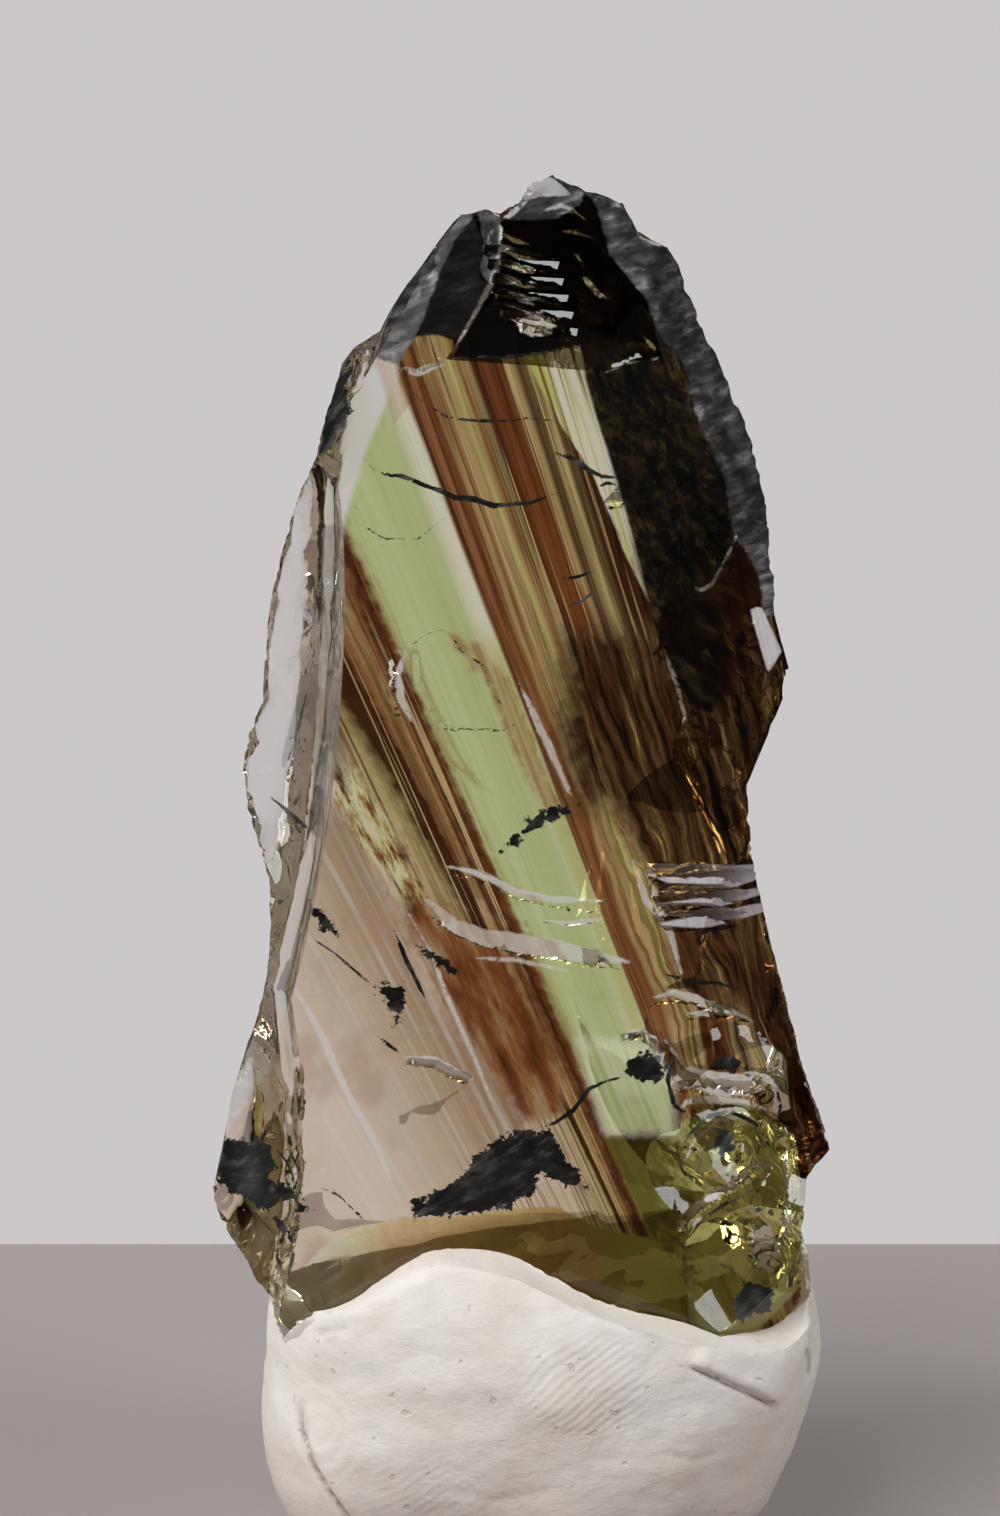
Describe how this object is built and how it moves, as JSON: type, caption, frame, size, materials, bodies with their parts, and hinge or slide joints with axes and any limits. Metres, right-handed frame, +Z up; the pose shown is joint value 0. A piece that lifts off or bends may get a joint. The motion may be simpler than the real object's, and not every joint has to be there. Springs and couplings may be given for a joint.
{
  "type": "andara crystal",
  "caption": "See-through green and brown natural glass shard with broken, shell-shaped facets, standing in a pressed lump of white mounting putty.",
  "frame": {"origin": "on the flat underside of the putty, below the middle of the whole object", "axes": "+Z up along the shard, -Y out of its broad front face, +X to the right of that face"},
  "size_m": [0.0388, 0.0284, 0.0883],
  "materials": {
    "flow_glass": "polished",
    "white_putty": "matte"
  },
  "bodies": {
    "root": {"crystal": "flow_glass", "putty_base": "white_putty"}
  },
  "joints": []
}
